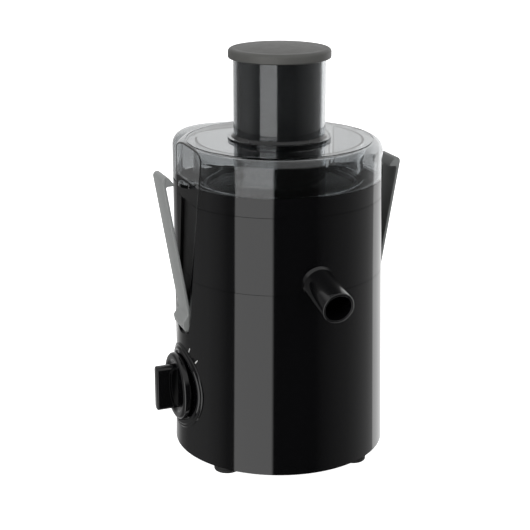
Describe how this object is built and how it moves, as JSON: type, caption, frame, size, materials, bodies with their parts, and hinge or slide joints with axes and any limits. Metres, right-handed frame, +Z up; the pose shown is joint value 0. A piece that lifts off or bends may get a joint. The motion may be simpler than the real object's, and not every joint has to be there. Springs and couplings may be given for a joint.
{
  "type": "centrifugal juicer",
  "caption": "Compact centrifugal juicer: black motor tower, lift-off collector with spout, spinning filter basket, smoke lid with feed tube and pusher, rear pulp container, side latches, dial.",
  "frame": {"origin": "on the table plane under the motor axis", "axes": "+Z up along the motor axis, -Y towards the juice spout, +Y towards the pulp container, -X towards the control dial"},
  "size_m": [0.2203, 0.2494, 0.3525],
  "materials": {
    "black_gloss": "glossy black moulded ABS",
    "base_black": "fine-textured black moulded plastic",
    "smoke_clear": "clear smoke-grey moulded plastic",
    "pusher_dark": "dark grey moulded plastic",
    "cap_grey": "matt grey moulded plastic",
    "latch_grey": "satin grey",
    "basket_dark": "dark grey moulded plastic",
    "stainless": "stainless steel sheet",
    "zinc_steel": "zinc-plated steel",
    "laminations": "stacked electrical steel",
    "copper": "enamelled copper wire",
    "bearing_steel": "ground bearing steel",
    "rubber": "soft black rubber",
    "nylon_white": "natural moulded nylon",
    "brush_brass": "stamped brass",
    "carbon": "pressed carbon",
    "capacitor_yellow": "dipped film capacitor"
  },
  "bodies": {
    "base": {"motor_housing": "black_gloss", "base_plate": "base_black", "foot_1": "rubber", "foot_2": "rubber", "foot_3": "rubber", "foot_4": "rubber", "base_screws": "zinc_steel", "stator_core": "laminations", "field_windings": "copper", "bracket_upper": "zinc_steel", "bracket_lower": "zinc_steel", "bearing_upper": "bearing_steel", "bearing_lower": "bearing_steel", "motor_mounts": "rubber", "brush_holders": "brush_brass", "carbon_brushes": "carbon", "shaft_seal": "rubber", "rotary_switch": "nylon_white", "interlock_switch": "nylon_white", "suppressor": "capacitor_yellow", "terminal_block": "nylon_white", "cord_inlet": "rubber", "dial_bezel": "black_gloss", "drive_neck": "base_black", "latch_pin_left": "zinc_steel", "latch_pin_right": "zinc_steel"},
    "motor": {"motor_shaft": "bearing_steel", "armature_core": "laminations", "armature_winding": "copper", "commutator": "copper", "cooling_fan": "nylon_white", "drive_coupling": "basket_dark"},
    "dial": {"control_dial": "black_gloss"},
    "collector": {"juice_collector": "black_gloss", "juice_spout": "black_gloss"},
    "filter": {"basket_base": "basket_dark", "filter_mesh": "stainless", "basket_rim": "basket_dark", "grater_disc": "stainless"},
    "container": {"pulp_container": "black_gloss"},
    "lid": {"lid": "smoke_clear", "lid_catch_left": "smoke_clear", "lid_catch_right": "smoke_clear"},
    "pusher": {"pusher": "pusher_dark", "pusher_cap": "cap_grey"},
    "latch_left": {"latch_left": "latch_grey"},
    "latch_right": {"latch_right": "latch_grey"}
  },
  "joints": [
    {"name": "motor_spin", "type": "hinge", "parent": "base", "child": "motor", "pos_m": [0, 0, 0.1], "axis": [0, 0, 1], "continuous": true},
    {"name": "collector_lift", "type": "slide", "parent": "base", "child": "collector", "axis": [0, 0, 1], "range_m": [0, 0.11]},
    {"name": "filter_spin", "type": "hinge", "parent": "collector", "child": "filter", "pos_m": [0, 0, 0.19], "axis": [0, 0, 1], "continuous": true},
    {"name": "lid_lift", "type": "slide", "parent": "collector", "child": "lid", "axis": [0, 0, 1], "range_m": [0, 0.12]},
    {"name": "pusher_slide", "type": "slide", "parent": "lid", "child": "pusher", "axis": [0, 0, 1], "range_m": [0, 0.15]},
    {"name": "container_slide", "type": "slide", "parent": "base", "child": "container", "axis": [0, 1, 0], "range_m": [0, 0.09]},
    {"name": "latch_left_pivot", "type": "hinge", "parent": "base", "child": "latch_left", "pos_m": [-0.0852, 0, 0.122], "axis": [0, -1, 0], "range_deg": [-6.5, 25]},
    {"name": "latch_right_pivot", "type": "hinge", "parent": "base", "child": "latch_right", "pos_m": [0.0852, 0, 0.122], "axis": [0, 1, 0], "range_deg": [-6.5, 25]},
    {"name": "dial_turn", "type": "hinge", "parent": "base", "child": "dial", "pos_m": [-0.09, 0, 0.064], "axis": [1, 0, 0], "range_deg": [-40, 80]}
  ],
  "couplings": [
    {"joint": "filter_spin", "follows": "motor_spin", "ratio": 1}
  ]
}
